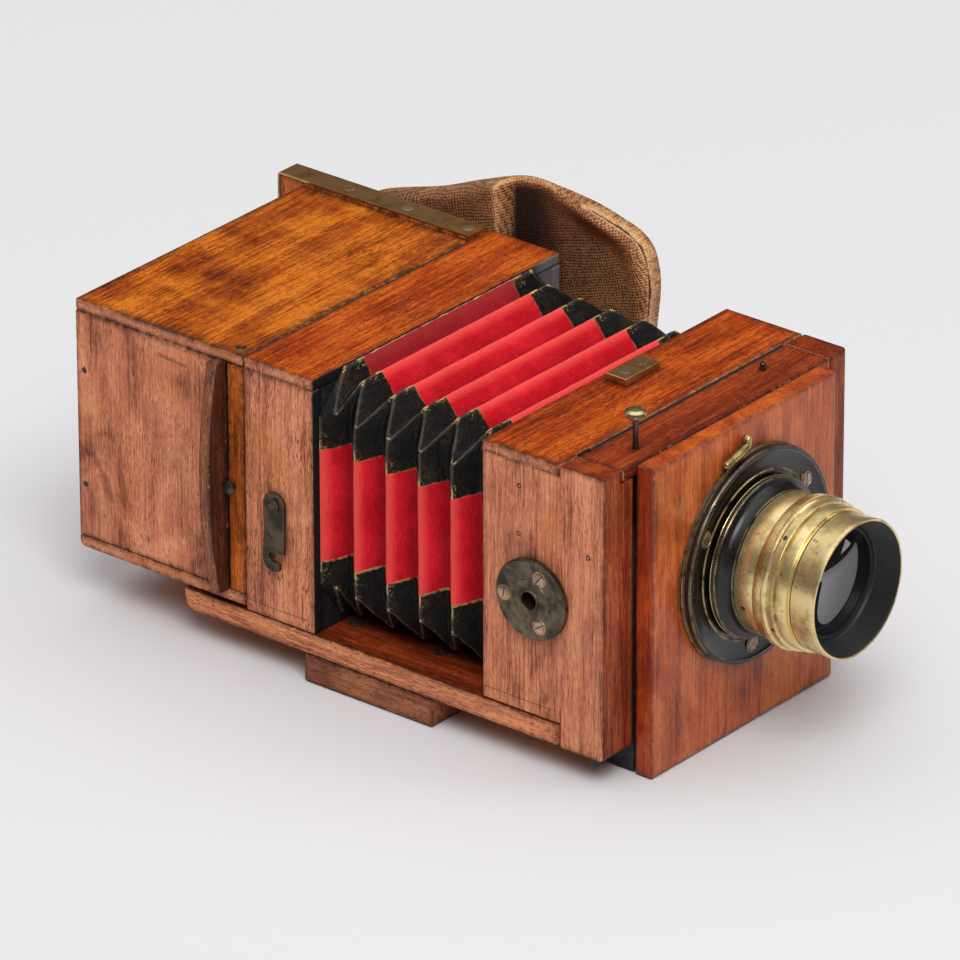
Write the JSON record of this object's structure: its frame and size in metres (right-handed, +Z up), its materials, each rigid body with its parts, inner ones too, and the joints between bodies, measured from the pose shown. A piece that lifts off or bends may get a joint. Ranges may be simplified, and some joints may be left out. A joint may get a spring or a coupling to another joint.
{
  "type": "view camera",
  "caption": "Small wooden hand-and-stand view camera with folding bellows, brass lens on a rising front, and a rear plate-changing box with its bag.",
  "frame": {"origin": "on the centre line of the underside of the tripod block, 20 mm towards the lens from the axis of its threaded bush", "axes": "-Y is the way the lens points, +Z is up, +X is to the right of a viewer who looks into the lens's front from outside, on the bag's side"},
  "size_m": [0.1559, 0.2962, 0.134],
  "materials": {
    "bag_collar": "brown cloth-grained hide, matte, with a pale tan rim",
    "bag_frame": "French-polished mahogany worn matte, with open dark pores",
    "bag_rail": "dark olive-brown patina, bright on worn edges",
    "baseboard": "French-polished mahogany worn matte, with open dark pores",
    "bellows": "crimson cloth on the flats, black leather on the folded corners",
    "bellows_front_frame": "wood blackened against reflections",
    "block_bush": "dark olive-brown patina, bright on worn edges",
    "box_back": "French-polished mahogany worn matte, with open dark pores",
    "box_bottom": "French-polished mahogany worn matte, with open dark pores",
    "box_front_frame": "French-polished mahogany worn matte, with open dark pores",
    "box_side": "French-polished mahogany worn matte, with open dark pores",
    "box_top": "glossy orange-brown mahogany with strong dark figure",
    "changing_bag": "brown cloth-grained hide, matte, with a pale tan rim",
    "clamp_plate": "dark olive-brown patina, bright on worn edges",
    "clamp_screw": "dark olive-brown patina, bright on worn edges",
    "dark_slide": "black hard rubber, satin",
    "finder_block": "dark olive-brown patina, bright on worn edges",
    "front_cell": "bright turned brass with small tarnish spots",
    "front_glass": "polished glass",
    "front_post_left": "French-polished mahogany worn matte, with open dark pores",
    "front_post_right": "French-polished mahogany worn matte, with open dark pores",
    "front_side_left": "French-polished mahogany worn matte, with open dark pores",
    "front_side_right": "French-polished mahogany worn matte, with open dark pores",
    "front_top_board": "glossy French-polished red-brown mahogany",
    "front_top_rail": "glossy French-polished red-brown mahogany",
    "guide_runner": "dark olive-brown patina, bright on worn edges",
    "hook_pin": "dark aged steel",
    "hook_pivot": "dark aged steel",
    "iris_diaphragm": "black hard rubber, satin",
    "iris_ring": "bright turned brass with small tarnish spots",
    "lens_barrel": "bright turned brass with small tarnish spots",
    "lens_flange": "black lacquer on brass, worn to brass at the edges",
    "lens_hood": "bright turned brass with small tarnish spots",
    "lens_mount": "black lacquer on brass, worn to brass at the edges",
    "lens_panel": "glossy French-polished red-brown mahogany",
    "lock_lever": "dark olive-brown patina, bright on worn edges",
    "lock_ring": "black lacquer on brass, worn to brass at the edges",
    "panel_tongue": "wood blackened against reflections",
    "peg_left": "wood blackened against reflections",
    "peg_right": "wood blackened against reflections",
    "plate_holder_front": "glass plates in thin black japanned sheaths",
    "plate_holder_stack": "glass plates in thin black japanned sheaths",
    "pressure_board": "French-polished mahogany worn matte, with open dark pores",
    "pressure_spring": "dark aged steel",
    "rear_back_panel": "wood blackened against reflections",
    "rear_bottom": "French-polished mahogany worn matte, with open dark pores",
    "rear_front_panel": "wood blackened against reflections",
    "rear_glass": "polished glass",
    "rear_side_left": "French-polished mahogany worn matte, with open dark pores",
    "rear_side_right": "French-polished mahogany worn matte, with open dark pores",
    "rear_top": "glossy French-polished red-brown mahogany",
    "release_pin": "dark olive-brown patina, bright on worn edges",
    "shutter_blade": "black hard rubber, satin",
    "shutter_board": "wood blackened against reflections",
    "shutter_knob": "bright turned brass with small tarnish spots",
    "shutter_rod": "dark aged steel",
    "side_bush": "dark olive-brown patina, bright on worn edges",
    "side_hook": "dark olive-brown patina, bright on worn edges",
    "slide_grip": "French-polished mahogany worn matte, with open dark pores",
    "tripod_block": "French-polished mahogany worn matte, with open dark pores"
  },
  "bodies": {
    "base": {"baseboard": "baseboard", "tripod_block": "tripod_block", "block_bush": "block_bush", "side_bush": "side_bush", "peg_left": "peg_left", "peg_right": "peg_right", "front_side_left": "front_side_left", "front_side_right": "front_side_right", "front_post_left": "front_post_left", "front_post_right": "front_post_right", "front_top_board": "front_top_board", "front_top_rail": "front_top_rail", "shutter_board": "shutter_board", "bellows_front_frame": "bellows_front_frame", "finder_block": "finder_block", "bellows": "bellows"},
    "rear_frame": {"rear_front_panel": "rear_front_panel", "rear_back_panel": "rear_back_panel", "rear_top": "rear_top", "rear_bottom": "rear_bottom", "rear_side_left": "rear_side_left", "rear_side_right": "rear_side_right", "guide_runner": "guide_runner", "clamp_plate": "clamp_plate", "hook_pivot": "hook_pivot"},
    "hook": {"side_hook": "side_hook"},
    "clamp": {"clamp_screw": "clamp_screw"},
    "changing_box": {"box_top": "box_top", "box_bottom": "box_bottom", "box_side": "box_side", "box_back": "box_back", "box_front_frame": "box_front_frame", "bag_frame": "bag_frame", "bag_rail": "bag_rail", "bag_collar": "bag_collar", "changing_bag": "changing_bag", "hook_pin": "hook_pin", "plate_holder_front": "plate_holder_front", "plate_holder_stack": "plate_holder_stack", "pressure_board": "pressure_board", "pressure_spring": "pressure_spring"},
    "sheath_slide": {"dark_slide": "dark_slide", "slide_grip": "slide_grip"},
    "lens_board": {"lens_panel": "lens_panel", "panel_tongue": "panel_tongue", "lens_flange": "lens_flange", "lens_mount": "lens_mount", "lens_barrel": "lens_barrel", "front_cell": "front_cell", "lens_hood": "lens_hood", "front_glass": "front_glass", "rear_glass": "rear_glass", "iris_diaphragm": "iris_diaphragm"},
    "lens_lock": {"lock_ring": "lock_ring", "lock_lever": "lock_lever"},
    "iris": {"iris_ring": "iris_ring"},
    "shutter": {"shutter_knob": "shutter_knob", "shutter_rod": "shutter_rod", "shutter_blade": "shutter_blade"},
    "release": {"release_pin": "release_pin"}
  },
  "joints": [
    {"name": "focus_slide", "type": "slide", "parent": "base", "child": "rear_frame", "axis": [0, -1, 0], "range_m": [0, 0.072], "deforming": ["bellows"]},
    {"name": "hook_swing", "type": "hinge", "parent": "rear_frame", "child": "hook", "pos_m": [-0.0684, 0.0594, 0.0643], "axis": [1, 0, 0], "range_deg": [-220, 40]},
    {"name": "clamp_turn", "type": "hinge", "parent": "rear_frame", "child": "clamp", "pos_m": [0.067, 0.062, 0.015], "axis": [1, 0, 0], "range_deg": [-180, 180]},
    {"name": "box_slide", "type": "slide", "parent": "rear_frame", "child": "changing_box", "axis": [0, 1, 0], "range_m": [0, 0.04]},
    {"name": "sheath_draw", "type": "slide", "parent": "changing_box", "child": "sheath_slide", "axis": [-1, 0, 0], "range_m": [0, 0.11]},
    {"name": "front_rise", "type": "slide", "parent": "base", "child": "lens_board", "axis": [0, 0, 1], "range_m": [0, 0.016]},
    {"name": "lens_lock_turn", "type": "hinge", "parent": "lens_board", "child": "lens_lock", "pos_m": [0.00265, -0.0905, 0.0654], "axis": [0, -1, 0], "range_deg": [0, 25]},
    {"name": "iris_turn", "type": "hinge", "parent": "lens_board", "child": "iris", "pos_m": [0.00265, -0.1125, 0.0654], "axis": [0, -1, 0], "range_deg": [0, 60]},
    {"name": "shutter_lift", "type": "slide", "parent": "base", "child": "shutter", "axis": [0, 0, 1], "range_m": [-0.008, 0.022]},
    {"name": "release_press", "type": "slide", "parent": "base", "child": "release", "axis": [0, 0, 1], "range_m": [-0.0015, 0], "stiffness_N_per_m": 300, "springref_m": 0.002}
  ]
}
